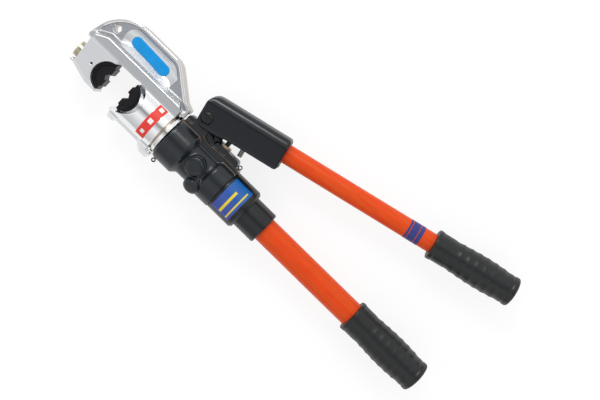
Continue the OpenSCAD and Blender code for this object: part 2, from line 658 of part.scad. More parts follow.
module release_pin() color("silver") {
    ycyl(release_x, release_y0 - 2, block_top + 0.8, release_pin_r);
    ycyl(release_x, release_y0 - 2, release_y0 - 0.2, release_pin_r + 0.9);
}
module release_spring() color("gray")
    ytube(release_x, release_y0 - 8, release_y0 - 2, release_pin_r + 0.9, release_pin_r - 0.3);
module pivot_bush() color("peru") difference() {
    zcyl(pivot_x, pivot_y, -lug_half, lug_half, pivot_r + bush_wall);
    zcyl(pivot_x, pivot_y, -lug_half - cut, lug_half + cut, pivot_r + run_fit);
}

// Fixed handle
module label_sleeve() color([0.18, 0.19, 0.2]) turned([
    [collar_x1, tail_r], [collar_x1, sleeve_r - 1], [collar_x1 + 1, sleeve_r], [sleeve_x1 - 3, sleeve_r],
    [sleeve_x1 - 1, sleeve_r - 1], [sleeve_x1, sleeve_r - 3], [sleeve_x1, fixed_tube_r], [tail_x1 + 0.2, fixed_tube_r],
    [tail_x1 + 0.2, tail_r]
]);
module notice_panel() color("royalblue")
    wrap(notice_x, notice_x + notice_w, sleeve_r + run_fit, print_t, notice_span[0], notice_span[1]);
module sleeve_clip() color("dimgray") translate([clip_x, clip_y, 0]) {
    rotate_extrude() translate([clip_r, 0]) circle(clip_wire, $fn = 24);
    ycyl(0, collar_r - 5 - clip_y, -clip_r, clip_wire);
}
module rear_sleeve() color([0.18, 0.19, 0.2]) turned([
    [sleeve_x1, fixed_tube_r], [sleeve_x1, rear_sleeve_r - 0.5], [sleeve_x1 + 0.5, rear_sleeve_r],
    [rear_sleeve_x1 - 2, rear_sleeve_r], [rear_sleeve_x1, rear_sleeve_r - 2], [rear_sleeve_x1, fixed_tube_r]
]);
module fixed_tube() color("orangered")
    xtube(tail_x1 + 0.2, grip_x1 - 6, fixed_tube_r, fixed_tube_r - fixed_tube_wall);
module oil_bladder() color("dimgray") turned([
    [tail_x1 + 1, tail_r - 14], [tail_x1 + 11, tail_r - 14], [tail_x1 + 13, fixed_tube_r - fixed_tube_wall - 2.4],
    [grip_x0 - 42, fixed_tube_r - fixed_tube_wall - 2.4], [grip_x0 - 36, 0], [grip_x0 - 34, 0],
    [grip_x0 - 40, fixed_tube_r - fixed_tube_wall - 0.9], [tail_x1 + 16, fixed_tube_r - fixed_tube_wall - 0.9],
    [tail_x1 + 12, tail_r - 12.5], [tail_x1 + 1, tail_r - 12.5]
]);
module bladder_ring() color("silver")
    xtube(tail_x1 + 4, tail_x1 + 8, fixed_tube_r - fixed_tube_wall, tail_r - 12.5);
module tube_end_plug() color("dimgray")
    xcyl(grip_x1 - 20, grip_x1 - 6, fixed_tube_r - fixed_tube_wall);
module grip(len, r, tube_r) {
    difference() {
        turned(concat([[0, 0]], grip_outline(len, r, r + 1.9), [[len, 0]]));
        xcyl(-cut, len - 6, tube_r);
    }
}
module fixed_grip() color([0.2, 0.21, 0.22]) translate([grip_x0, 0, 0]) grip(fixed_grip_len, fixed_grip_r, fixed_tube_r);

// Pump handle
// The fork's outer form: its side outline cut by a cross-section with rounded long edges
fork_pts = [
    [-fork_len, fork_up, 14], [-fork_len, -pivot_drop - 5, 5], [-pivot_back - 2.5, -fork_down - 3, 6],
    [-pivot_back + 20, -fork_down - 3, 12], [-pivot_back + 32, -fork_down, 12], [0, -fork_down, 3], [0, fork_up, 3]
];
fork_section = [
    [-fork_half, -fork_down - 4, fork_round], [fork_half, -fork_down - 4, fork_round],
    [fork_half, fork_up, fork_round], [-fork_half, fork_up, fork_round]
];
module fork_form() {
    intersection() {
        slab(-fork_half - cut, fork_half + cut) polygon(rounded(fork_pts));
        translate([-fork_len - cut, 0, 0]) rotate([90, 0, 90])
            linear_extrude(fork_len + 2 * cut) polygon([for (p = rounded(fork_section)) [p.y, p.x]]);
    }
}
module fork() color([0.16, 0.17, 0.2]) difference() {
    in_handle() {
        difference() {
            fork_form();
            box(-fork_len + 5, -block_len, -2 * fork_down, channel_roof, channel_half);
            box(-fork_len - cut, -fork_len + 6, -2 * fork_down, -pivot_drop + lug_r + 0.7, channel_half);
            xcyl(-block_len - cut, cut, pump_tube_r + run_fit);
        }
        difference() {
            box(stub_s - 6, stub_s + 6, -fork_down, -fork_down + 5, channel_half + cut);
            ycyl(stub_s, -2 * fork_down, 0, stub_r + run_fit);
        }
    }
    zcyl(pivot_x, pivot_y, -fork_half - cut, fork_half + cut, pivot_r);
    zcyl(drive.x, drive.y, -channel_half - 3, channel_half + 3, drive_r);
}
module pivot_pin() color("dimgray") {
    zcyl(pivot_x, pivot_y, -fork_half - 3, fork_half, pivot_r);
    zcyl(pivot_x, pivot_y, fork_half, fork_half + 2.2, pivot_r + 1.6);
    translate([pivot_x, pivot_y, fork_half + 2.2]) cylinder(h = 1, r1 = pivot_r + 1.6, r2 = pivot_r + 0.4);
}
module pivot_clip() color("gray") difference() {
    zcyl(pivot_x, pivot_y, -fork_half - 1.6, -fork_half, pivot_r + 2.5);
    zcyl(pivot_x, pivot_y, -fork_half - 3, -fork_half + cut, pivot_r);
}
module drive_pin() color("silver") zcyl(drive.x, drive.y, -channel_half - 3, channel_half + 3, drive_r);
module release_stub() color("gray") in_handle() ycyl(stub_s, stub_end, stub_top, stub_r);
module pump_tube() color("orangered") in_handle()
    xtube(-block_len, pump_grip_s1 - 6, pump_tube_r, pump_tube_r - pump_tube_wall);
module tube_plug() color("gray") in_handle() {
    xcyl(-block_len, -block_len + 14, pump_tube_r - pump_tube_wall);
    xcyl(stub_s - 5, -block_len, cam_shaft_r);
}
module release_cam() color("silver") in_handle() difference() {
    union() {
        xcyl(-block_len - 5.5, -block_len - free_gap, cam_r + 2);
        translate([0, 0, cam_offset]) xcyl(stub_s - 5, -block_len - 5, cam_r);
    }
    xcyl(stub_s - 6, -block_len + cut, cam_shaft_r);
}
module tube_bands() color("slateblue") in_handle()
    for (band = tube_band_ends)
        xtube(pump_grip_s0 - band[0], pump_grip_s0 - band[1], pump_tube_r + 0.25, pump_tube_r);
module pump_grip() color([0.2, 0.21, 0.22]) in_handle()
    translate([pump_grip_s0, 0, 0]) grip(pump_grip_len, pump_grip_r, pump_tube_r);

head_frame();
label_plate();
size_band();
fixed_die();
jaw_button();
jaw_button_spring();
jaw_cross_pin();
ram_wiper();
swivel_band();
swivel_seal();
spring_anchor();
ram();
moving_die();
ram_seal();
ram_backup_ring();
return_spring();
ram_detent();
ram_detent_spring();
pump_body();
swivel_wire();
valve_cap();
relief_cap();
relief_ball();
relief_spring();
delivery_screw();
delivery_spring();
delivery_ball();
suction_spring();
suction_ball();
suction_seat();
intake_strainer();
plunger_seal();
plunger_gland();
plunger_spring();
plunger();
release_screw();
release_pin();
release_spring();
pivot_bush();
label_sleeve();
notice_panel();
sleeve_clip();
rear_sleeve();
fixed_tube();
oil_bladder();
bladder_ring();
tube_end_plug();
fixed_grip();
fork();
pivot_pin();
pivot_clip();
drive_pin();
release_stub();
pump_tube();
tube_plug();
release_cam();
tube_bands();
pump_grip();
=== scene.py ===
"""Looks of a hydraulic crimping tool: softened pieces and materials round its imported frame.

Metres, in the frame's own axes: the ram runs along X, the pump handle lies towards +Y, +Z is up.
"""

import json
import math

import bmesh
import bpy
from mathutils import Matrix, Vector, kdtree


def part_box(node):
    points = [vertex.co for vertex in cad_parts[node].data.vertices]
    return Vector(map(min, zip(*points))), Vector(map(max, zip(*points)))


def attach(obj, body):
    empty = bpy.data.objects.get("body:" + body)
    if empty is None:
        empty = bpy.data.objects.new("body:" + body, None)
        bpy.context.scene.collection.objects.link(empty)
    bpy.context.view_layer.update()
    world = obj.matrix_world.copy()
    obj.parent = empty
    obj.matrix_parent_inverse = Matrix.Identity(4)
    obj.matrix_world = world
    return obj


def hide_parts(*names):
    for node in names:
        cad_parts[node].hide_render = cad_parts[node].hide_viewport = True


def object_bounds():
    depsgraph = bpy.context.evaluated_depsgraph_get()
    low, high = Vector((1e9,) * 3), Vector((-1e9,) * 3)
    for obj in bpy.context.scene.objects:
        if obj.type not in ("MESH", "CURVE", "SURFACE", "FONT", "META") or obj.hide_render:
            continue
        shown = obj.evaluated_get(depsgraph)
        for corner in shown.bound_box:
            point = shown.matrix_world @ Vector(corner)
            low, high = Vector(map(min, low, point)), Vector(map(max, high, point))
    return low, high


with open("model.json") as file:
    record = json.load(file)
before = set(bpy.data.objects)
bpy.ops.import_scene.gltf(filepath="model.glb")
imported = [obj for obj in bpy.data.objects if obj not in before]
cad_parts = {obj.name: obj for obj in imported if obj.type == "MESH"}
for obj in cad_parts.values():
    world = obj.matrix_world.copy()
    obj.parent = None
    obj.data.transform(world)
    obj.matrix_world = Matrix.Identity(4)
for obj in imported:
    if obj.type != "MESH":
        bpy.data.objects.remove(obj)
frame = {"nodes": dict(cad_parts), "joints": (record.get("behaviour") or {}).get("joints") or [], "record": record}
cad_low, cad_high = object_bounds()

MM = 0.001
NODES = frame["nodes"]
JOINTS = {joint["name"]: joint for joint in frame["joints"]}
BODY_OF = {node: body for body, nodes in frame["record"]["behaviour"]["bodies"].items() for node in nodes}


# Camera, at the photograph's viewing angle
IMAGE_WIDTH = 600
FOCAL_PIXELS = 1000
SENSOR = 36.0
CAMERA_AT = Vector((0.2550, 0.1922, 1.2433))
CAMERA_AIM = Vector((0.2757, 0.0579, 0.0))
IMAGE_UP = Vector((-0.6999, 0.7086, -0.0882))


def make_camera():
    data = bpy.data.cameras.new("camera")
    data.sensor_width = SENSOR
    data.lens = FOCAL_PIXELS * SENSOR / IMAGE_WIDTH
    camera = bpy.data.objects.new("camera", data)
    bpy.context.scene.collection.objects.link(camera)
    back = (CAMERA_AT - CAMERA_AIM).normalized()
    right = IMAGE_UP.cross(back).normalized()
    up = back.cross(right)
    turn = Matrix((right, up, back)).transposed().to_4x4()
    camera.matrix_world = Matrix.Translation(CAMERA_AT) @ turn
    bpy.context.scene.camera = camera


# Materials
class Look:
    """A Principled material, with short ways to add its nodes."""

    def __init__(self, slot, colour, rough, metal=0.0):
        self.slot = slot
        self.material = bpy.data.materials.new(slot + "_look")
        self.material.use_nodes = True
        self.tree = self.material.node_tree
        self.bsdf = self.tree.nodes["Principled BSDF"]
        self.put("Base Color", (*colour, 1))
        self.put("Roughness", rough)
        self.put("Metallic", metal)
        self.place = self.node("ShaderNodeTexCoord").outputs["Object"]

    def put(self, socket, value):
        self.bsdf.inputs[socket].default_value = value

    def node(self, kind, **settings):
        made = self.tree.nodes.new(kind)
        for key, value in settings.items():
            setattr(made, key, value)
        return made

    def join(self, source, target):
        self.tree.links.new(source, target)

    def noise(self, size, detail=3.0, stretch=(1, 1, 1)):
        """Noise with features of about that size in metres, drawn out along an axis by stretch."""
        mapping = self.node("ShaderNodeMapping")
        mapping.inputs["Scale"].default_value = [1 / (size * s) for s in stretch]
        self.join(self.place, mapping.inputs["Vector"])
        noise = self.node("ShaderNodeTexNoise")
        noise.inputs["Scale"].default_value = 1.0
        noise.inputs["Detail"].default_value = detail
        self.join(mapping.outputs["Vector"], noise.inputs["Vector"])
        return noise.outputs["Fac"]

    def spread(self, value, low, high, start=0.3, end=0.7):
        """A value from start to end, spread over low to high."""
        made = self.node("ShaderNodeMapRange")
        for socket, number in zip(("From Min", "From Max", "To Min", "To Max"), (start, end, low, high)):
            made.inputs[socket].default_value = number
        self.join(value, made.inputs["Value"])
        return made.outputs["Result"]

    def mask(self, name):
        """A number kept on the mesh's points."""
        return self.node("ShaderNodeAttribute", attribute_name=name).outputs["Fac"]

    def times(self, a, b):
        made = self.node("ShaderNodeMath", operation="MULTIPLY")
        self.join(a, made.inputs[0])
        self.join(b, made.inputs[1])
        return made.outputs["Value"]

    def total(self, start, *shares):
        """A number or another value, plus each value times its weight."""
        for value, weight in shares:
            made = self.node("ShaderNodeMath", operation="MULTIPLY_ADD")
            self.join(value, made.inputs[0])
            made.inputs[1].default_value = weight
            if isinstance(start, float):
                made.inputs[2].default_value = start
            else:
                self.join(start, made.inputs[2])
            start = made.outputs["Value"]
        return start

    def tint(self, factor, other):
        """Turns the base colour, as it is so far, towards another one by factor."""
        target = self.bsdf.inputs["Base Color"]
        mix = self.node("ShaderNodeMix", data_type="RGBA")
        self.join(factor, mix.inputs["Factor"])
        mix.inputs["A"].default_value = tuple(target.default_value)
        if target.is_linked:
            self.join(target.links[0].from_socket, mix.inputs["A"])
        mix.inputs["B"].default_value = (*other, 1)
        self.join(mix.outputs["Result"], target)

    def rough(self, value):
        self.join(value, self.bsdf.inputs["Roughness"])

    def bump(self, height, depth):
        made = self.node("ShaderNodeBump")
        made.inputs["Strength"].default_value = 1.0
        made.inputs["Distance"].default_value = depth
        self.join(height, made.inputs["Height"])
        self.join(made.outputs["Normal"], self.bsdf.inputs["Normal"])


def shade(colour, factor):
    return tuple(min(1.0, c * factor) for c in colour)


# Sizes of the clouds in a paint's tone and gloss, and where its gloss fades as it turns edge on
CLOUD = 14 * MM
GLOSS_CLOUD = 6 * MM
EDGE_ON = (0.55, 0.93)


def painted(slot, colour, rough, grain=0.6 * MM, depth=0.006 * MM, shine=0.36, sheen=0.0):
    """Paint or moulded plastic: fine grain, cloudy tone and patchy gloss, dull where it is seen edge on."""
    look = Look(slot, colour, rough)
    look.tint(look.spread(look.noise(CLOUD), 0, 0.35), shade(colour, 1.4))
    turned = look.node("ShaderNodeLayerWeight").outputs["Facing"]
    look.put("Specular IOR Level", shine)
    look.join(look.spread(turned, shine, 0.0, *EDGE_ON), look.bsdf.inputs["Specular IOR Level"])
    look.put("Sheen Weight", sheen)
    look.put("Sheen Roughness", 0.4)
    look.rough(look.spread(look.noise(GLOSS_CLOUD, 5), rough - 0.03, rough + 0.05))
    look.bump(look.noise(grain, 2), depth)
    return look


def metal(slot, colour, rough, brush=(1, 1, 1), depth=0.004 * MM, grain=0.5 * MM):
    """Bare metal with brush marks drawn out along an axis."""
    look = Look(slot, colour, rough, 1.0)
    look.tint(look.spread(look.noise(9 * MM, 4, brush), 0, 0.5), shade(colour, 0.85))
    look.rough(look.spread(look.noise(grain, 3, brush), rough - 0.04, rough + 0.06))
    look.bump(look.noise(grain, 3, brush), depth)
    return look


POLISHED = (0.86, 0.87, 0.88)
JAW_GREY = (0.76, 0.78, 0.80)
FLANGE_GREY = (0.57, 0.59, 0.61)
WEB_GREY = (0.43, 0.45, 0.48)
EDGE_HIGHLIGHT_WHITE = (0.97, 0.97, 0.97)
WALL_REFLECTION_BEIGE = (0.56, 0.52, 0.48)
COPPER_REFLECTION = (0.17, 0.095, 0.055)
DIE_EDGE_HIGHLIGHT = (0.11, 0.10, 0.11)
STREAK_ORANGE = (0.72, 0.098, 0.012)
NOTICE_BLUE = (0.0, 0.115, 0.40)
BAR_YELLOW = (0.78, 0.62, 0.02)


def forging():
    """Head: polished cylinder, satin jaw, brushed flange, rough web, walls in beige as a painted warm reflection,
    and painted highlights along the edges.
    """
    look = Look("head_steel", POLISHED, 0.2, 1.0)
    along = (16, 1, 1)
    jaw, flange, web, wall = (look.mask(name) for name in ("jaw", "flange", "web", "wall"))
    look.tint(jaw, JAW_GREY)
    look.tint(flange, FLANGE_GREY)
    look.tint(web, WEB_GREY)
    # Painted reflection: the upright walls and the hanging hole turn beige, as if they mirrored something warm
    look.tint(wall, WALL_REFLECTION_BEIGE)
    strokes = look.spread(look.noise(0.5 * MM, 4, along), 0, 0.4)
    look.tint(look.times(look.total(0.25, (flange, 0.75)), strokes), shade(POLISHED, 0.5))
    spots = look.spread(look.noise(1.6 * MM, 5), 0, 0.5)
    look.tint(look.times(web, spots), shade(WEB_GREY, 0.55))
    # Painted highlight: white along the sharp edges, where light would glint on their bevels
    look.tint(look.spread(look.mask("edge"), 0, 0.8, 0.35, 1), EDGE_HIGHLIGHT_WHITE)
    patchy = look.spread(look.noise(0.7 * MM, 4, along), 0.11, 0.17)
    look.rough(look.total(patchy, (jaw, 0.26), (flange, 0.2), (web, 0.32), (wall, 0.2)))
    look.bump(look.noise(0.6 * MM, 3, along), 0.006 * MM)
    return look


def cast_body():
    """Black casting with a painted copper-coloured reflection along the edge of its flank, at the parting line."""
    look = painted("body_black", (0.011, 0.0145, 0.0185), 0.2, grain=0.9 * MM, shine=0.42)
    # Painted reflection: copper colour on the sharp edges within the flank's band
    seam_highlight = look.times(look.mask("seam_highlight"), look.spread(look.mask("edge"), 0, 1, 0.3, 0.7))
    look.tint(seam_highlight, COPPER_REFLECTION)
    return look


def die_with_edge_highlights():
    """Black oxide, with a painted highlight in grey along its edges."""
    look = metal("die_black", (0.026, 0.025, 0.028), 0.42, depth=0.01 * MM)
    # Painted highlight: lighter grey along the sharp edges, where their bevels would catch light
    look.tint(look.spread(look.mask("edge"), 0, 0.8, 0.5, 1), DIE_EDGE_HIGHLIGHT)
    return look


def enamel():
    """Orange enamel with faint streaks along the tubes."""
    look = painted("tube_orange", (0.69, 0.052, 0.004), 0.3, grain=1.6 * MM, shine=0.18)
    look.tint(look.spread(look.noise(5 * MM, 3, (40, 1, 1)), 0, 0.7), STREAK_ORANGE)
    return look


def notice_film():
    """Blue film, more violet on one side, with two plain yellow bars."""
    look = painted("notice_blue", (0.045, 0.07, 0.32), 0.32)
    look.tint(look.mask("side"), NOTICE_BLUE)
    look.tint(look.mask("bar"), BAR_YELLOW)
    return look


def make_looks():
    looks = [
        forging(),
        cast_body(),
        painted("plate_blue", (0.002, 0.27, 0.66), 0.3, shine=0.3),
        painted("band_red", (0.72, 0.045, 0.035), 0.36, shine=0.3),
        painted("white_plastic", (0.82, 0.82, 0.80), 0.4),
        notice_film(),
        painted("band_navy", (0.030, 0.043, 0.19), 0.35, shine=0.3),
        painted("sleeve_black", (0.006, 0.0075, 0.0095), 0.26, grain=0.7 * MM, shine=0.42, sheen=0.02),
        painted("grip_rubber", (0.009, 0.010, 0.011), 0.33, grain=0.5 * MM, depth=0.008 * MM, shine=0.42),
        painted(
            "fork_black", (0.004, 0.0055, 0.009), 0.2,
            grain=1.2 * MM, depth=0.005 * MM, shine=0.4, sheen=0.06
        ),
        painted("wire_black", (0.006, 0.0065, 0.0075), 0.24),
        painted("seal_rubber", (0.02, 0.02, 0.02), 0.5),
        enamel(),
        die_with_edge_highlights(),
        metal("button_gold", (0.50, 0.45, 0.33), 0.24),
        metal("spring_steel", (0.55, 0.55, 0.57), 0.3),
        metal("chrome_ring", POLISHED, 0.1, (1, 8, 8)),
        metal("ram_steel", (0.62, 0.64, 0.67), 0.26, (10, 1, 1)),
        metal("bronze", (0.46, 0.36, 0.27), 0.3, (1, 6, 6)),
        metal("stub_grey", (0.22, 0.22, 0.21), 0.38),
    ]
    return {look.slot: look.material for look in looks}


LOOKS = make_looks()


# Mesh tools, with the edges that count as sharp and the voxels of large and small pieces
SHARP = math.radians(38)
POINT_STEP = 0.7 * MM
HEAD_VOXEL = 0.93 * MM
BODY_VOXEL = 0.9 * MM
SMALL_VOXEL = 0.45 * MM


def unit(value):
    """A number kept between 0 and 1."""
    return max(0.0, min(1.0, value))


def add(name, mesh, body, slot, *nodes):
    """Puts a mesh in the scene as a piece that rides on a body and may stand for some nodes."""
    piece = bpy.data.objects.new(name, mesh)
    bpy.context.scene.collection.objects.link(piece)
    mesh.materials.clear()
    mesh.materials.append(LOOKS[slot])
    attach(piece, body)
    if nodes:
        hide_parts(*nodes)


def welded(node):
    """A closed copy of a node's mesh."""
    form = bmesh.new()
    form.from_mesh(NODES[node].data)
    bmesh.ops.remove_doubles(form, verts=form.verts, dist=0.001 * MM)
    bmesh.ops.dissolve_degenerate(form, edges=form.edges, dist=0.0005 * MM)
    return form


def sharp_points(form):
    """Points along the sharp edges of a form."""
    points = []
    for edge in form.edges:
        if len(edge.link_faces) == 2 and edge.calc_face_angle(0.0) > SHARP:
            a, b = (v.co for v in edge.verts)
            count = max(1, int((b - a).length / POINT_STEP))
            points += [a.lerp(b, k / count) for k in range(count + 1)]
    return points


def keep_mask(mesh, name, values):
    mesh.attributes.new(name, "FLOAT", "POINT").data.foreach_set("value", values)


def voxels(node, voxel, passes, cutter=None):
    """A node's mesh made anew in voxels and smoothed, and points along the node's sharp edges.

    A cutter, if there is one, is taken away first.
    """
    form = welded(node)
    points = sharp_points(form)
    base = bpy.data.meshes.new(node + "_welded")
    form.to_mesh(base)
    form.free()
    rough = bpy.data.objects.new(node + "_rough", base)
    bpy.context.scene.collection.objects.link(rough)
    if cutter is not None:
        cut = rough.modifiers.new("cut", "BOOLEAN")
        cut.operation = "DIFFERENCE"
        cut.object = cutter
    remesh = rough.modifiers.new("voxels", "REMESH")
    remesh.mode = "VOXEL"
    remesh.voxel_size = voxel
    remesh.use_smooth_shade = True
    smoothing(rough, passes)
    mesh = evaluated(rough)
    bpy.data.objects.remove(rough)
    return mesh, points


def smoothing(obj, passes):
    smooth = obj.modifiers.new("smooth", "SMOOTH")
    smooth.factor = 0.5
    smooth.iterations = passes


def smoothed_more(mesh, passes):
    rough = bpy.data.objects.new("more", mesh)
    bpy.context.scene.collection.objects.link(rough)
    smoothing(rough, passes)
    made = evaluated(rough)
    bpy.data.objects.remove(rough)
    return made


def soften(node, slot, voxel, passes, edge_reach=1.5 * MM, masks=None, cutter=None, plain=None):
    """Adds a copy of a node with its edges rounded, which stands for it.

    masks are {name: value of a point and its normal}. The mask edge is 1 on the node's sharp edges,
    apart from points where plain is true.
    """
    mesh, points = voxels(node, voxel, passes, cutter)
    if plain is not None:
        points = [point for point in points if not plain(point)]
    tree = kdtree.KDTree(len(points))
    for index, point in enumerate(points):
        tree.insert(point, index)
    tree.balance()
    keep_mask(mesh, "edge", [unit(1 - tree.find(v.co)[2] / edge_reach) for v in mesh.vertices])
    for name, value in (masks or {}).items():
        keep_mask(mesh, name, [float(value(v.co, v.normal)) for v in mesh.vertices])
    add(node + "_form", mesh, BODY_OF[node], slot, node)


def evaluated(obj):
    graph = bpy.context.evaluated_depsgraph_get()
    mesh = bpy.data.meshes.new_from_object(obj.evaluated_get(graph), depsgraph=graph)
    mesh.name = obj.name
    return mesh


def fillet(points, steps=6):
    """An outline's points, with each corner (x, y, radius) rounded."""
    flat = [Vector(p[:2]) for p in points]
    made = []
    for i, point in enumerate(points):
        radius = point[2] if len(point) > 2 else 0.0
        if radius <= 0 or i in (0, len(points) - 1):
            made.append(flat[i])
            continue
        into = (flat[i] - flat[i - 1]).normalized()
        out = (flat[i + 1] - flat[i]).normalized()
        side = 1 if into.cross(out) > 0 else -1
        turn = into.angle(out)
        start = flat[i] - into * radius * math.tan(turn / 2)
        centre = start + side * radius * Vector((-into.y, into.x))
        arm = start - centre
        for k in range(steps + 1):
            angle = side * turn * k / steps
            cos, sin = math.cos(angle), math.sin(angle)
            made.append(centre + Vector((arm.x * cos - arm.y * sin, arm.x * sin + arm.y * cos)))
    return made


def lathe(outline, place=Matrix.Identity(4), sides=96):
    """A mesh turned round the X axis of a place from (along, radius) points."""
    form = bmesh.new()
    rings = []
    angles = [2 * math.pi * k / sides for k in range(sides)]
    for along, radius in outline:
        points = [(along, radius * math.cos(a), radius * math.sin(a)) for a in angles]
        if radius < 1e-7:
            points = [(along, 0, 0)]
        rings.append([form.verts.new(point) for point in points])
    for one, two in zip(rings, rings[1:]):
        for k in range(sides):
            after = k + 1
            corners = [one[k % len(one)], one[after % len(one)], two[after % len(two)], two[k % len(two)]]
            corners = list(dict.fromkeys(corners))
            if len(corners) > 2:
                form.faces.new(corners)
    bmesh.ops.recalc_face_normals(form, faces=form.faces)
    form.transform(place)
    return finished(form, "turned")


def disc(place, radius, thick):
    """A flat disc on a place's X axis."""
    return lathe([(0, 0), (0, radius), (thick, radius), (thick, 0)], place)


def finished(form, name):
    """The mesh of a form, shaded smooth apart from its sharp edges."""
    mesh = bpy.data.meshes.new(name)
    form.to_mesh(mesh)
    form.free()
    mesh.shade_smooth()
    mesh.set_sharp_from_angle(angle=math.radians(45))
    return mesh


def patch(x0, x1, radius, low, high, thick=0.12 * MM, rows=12, columns=1):
    """A thin sheet wrapped round the X axis between two angles from +Z towards +Y."""
    form = bmesh.new()
    ends = [x0 + (x1 - x0) * k / columns for k in range(columns + 1)]
    corners = [(x, radius + thick) for x in ends] + [(x1, radius), (x0, radius)]
    rings = []
    for k in range(rows + 1):
        angle = math.radians(low + (high - low) * k / rows)
        sin, cos = math.sin(angle), math.cos(angle)
        rings.append([form.verts.new((x, r * sin, r * cos)) for x, r in corners])
    for one, two in zip(rings, rings[1:]):
        for k in range(len(corners)):
            form.faces.new((one[k], one[k - 1], two[k - 1], two[k]))
    form.faces.new(rings[0])
    form.faces.new(rings[-1])
    bmesh.ops.recalc_face_normals(form, faces=form.faces)
    return finished(form, "patch")


def along_axis(node, place):
    """Start, end and greatest radius of a node along a place's X axis."""
    local = place.inverted()
    points = [local @ v.co for v in NODES[node].data.vertices]
    radius = max(math.hypot(p.y, p.z) for p in points)
    return min(p.x for p in points), max(p.x for p in points), radius


# Places: the ram's axis is X, the handle's axis is that of its twist
UP = (0, 0, 1)
RAM = Matrix.Identity(4)


def place_along(at, along):
    """A place at a point, with its X axis in a direction."""
    turn = Vector((1, 0, 0)).rotation_difference(Vector(along))
    return Matrix.Translation(at) @ turn.to_matrix().to_4x4()


def middle(node):
    low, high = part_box(node)
    return (low + high) / 2


HANDLE = place_along(Vector(JOINTS["handle_twist"]["pos_m"]), JOINTS["handle_twist"]["axis"])


# Head, with the frame's own sizes. A skirt slopes down from its flange to the web of its arch.
JAW_END = 2 * MM
FLANGE_LOW = 24.4 * MM
FLANGE_TOP = 37.5 * MM
SKIRT_WIDTH = 6.5 * MM
SKIRT_TOP = 45 * MM
HEAD_HALF = 20 * MM
WEB_HALF = 11 * MM
NEAR_WEB = 1.5 * MM
RIM_LOW = 12.5 * MM
POCKET = ((-22 * MM, 65 * MM), (44.5 * MM, 71.2 * MM))
POCKET_FLOOR = 4 * MM
PLATE_TOP = 8 * MM


def over_pocket(at):
    (x0, x1), (y0, y1) = POCKET
    return x0 < at.x < x1 and y0 < at.y < y1 and abs(at.z) < WEB_HALF - 0.3 * MM


def on_jaw(at, facing):
    return at.x < JAW_END and at.y < FLANGE_LOW


def on_flange(at, facing):
    return FLANGE_LOW < at.y < SKIRT_TOP and abs(at.z) > WEB_HALF + NEAR_WEB


def on_web(at, facing):
    return at.y > FLANGE_TOP and abs(facing.z) > 0.8 and abs(abs(at.z) - WEB_HALF) < NEAR_WEB


def on_wall(at, facing):
    """1 on the arch's upright outer walls and in the hanging hole, which take a painted warm reflection in beige.
    """
    (x0, x1), (y0, y1) = POCKET
    outward = facing.x * (at.x - (x0 + x1) / 2) + facing.y * (at.y - (y0 + y1) / 2) > 0
    return at.y > FLANGE_TOP and abs(facing.z) < 0.5 and (outward or not over_pocket(at))


def outline_reach(node, height, centre, count):
    """How far a node's points in the pocket at a height reach from a centre, in a number of directions."""
    points = (v.co for v in NODES[node].data.vertices if abs(v.co.z - height) < 0.02 * MM)
    flat = [Vector((p.x, p.y)) - centre for p in points if over_pocket(p)]
    flat.sort(key=lambda f: math.atan2(f.y, f.x))
    reach = []
    for k in range(count):
        angle = -math.pi + 2 * math.pi * (k + 0.5) / count
        way = Vector((math.cos(angle), math.sin(angle)))
        best = 0.0
        for one, two in zip(flat, flat[1:] + flat[:1]):
            side = two - one
            cross = way.cross(side)
            if abs(cross) < 1e-12:
                continue
            share = one.cross(way) / cross
            length = one.cross(side) / cross
            if -1e-6 <= share <= 1 + 1e-6 and length > best:
                best = length
        reach.append((way, best))
    return reach


def smooth_share(value):
    share = unit(value)
    return share * share * (3 - 2 * share)


def skirt_height(y):
    share = (y - FLANGE_TOP) / SKIRT_WIDTH
    return HEAD_HALF + (WEB_HALF - HEAD_HALF) * share


# The pocket's slope: the Y below which the rim turns into it, over a blend, and its reach down the skirt
SLOPE_TOP = 50 * MM
SLOPE_BLEND = 4.5 * MM
SLOPE_REACH = 4.2 * MM


def make_pocket():
    """The hollow between the pocket's rim and the label plate: sloped on the flange's side, else coved."""
    count, steps = 240, 14
    overlap, proud, tuck, sink = 0.4 * MM, 0.35 * MM, 0.6 * MM, 0.8 * MM
    satin = 0.9
    centre = middle("label_plate").xy
    rim = outline_reach("head_frame", POCKET_FLOOR, centre, count)
    plate = outline_reach("label_plate", POCKET_FLOOR, centre, count)
    form = bmesh.new()
    rings = []
    for k in range(steps + 1):
        share = k / steps
        ring = []
        for (way, far), (_, near) in zip(rim, plate):
            edge = centre + way * far
            slope = smooth_share((SLOPE_TOP - edge.y) / SLOPE_BLEND)
            edge = edge + way * overlap * (1 - slope) - Vector((0, SLOPE_REACH)) * slope
            start = max(WEB_HALF, skirt_height(edge.y)) + proud * slope
            inner = centre + way * (near - tuck)
            at = edge.lerp(inner, share)
            cove = 1 - (1 - share) ** 2
            fall = share * slope + cove * (1 - slope)
            ring.append(form.verts.new((at.x, at.y, start + (PLATE_TOP - sink - start) * fall)))
        rings.append(ring)
    for one, two in zip(rings, rings[1:]):
        for k in range(count):
            form.faces.new((one[k - 1], one[k], two[k], two[k - 1]))
    bmesh.ops.recalc_face_normals(form, faces=form.faces)
    if sum(f.normal.z for f in form.faces) < 0:
        bmesh.ops.reverse_faces(form, faces=form.faces)
    mesh = finished(form, "pocket_cove")
    keep_mask(mesh, "jaw", [satin] * len(mesh.vertices))
    add("pocket_cove", mesh, "head", "head_steel")


def on_dull_edge(at):
    """True where the flange's slope runs down into the pocket, and on bends of the arch's upright walls."""
    (x0, x1), (y0, _) = POCKET
    slope = x0 - 2 * MM < at.x < x1 + 2 * MM and FLANGE_TOP + 2 * MM < at.y < y0 + 3 * MM
    return slope or (at.y > SKIRT_TOP and abs(at.z) < RIM_LOW)


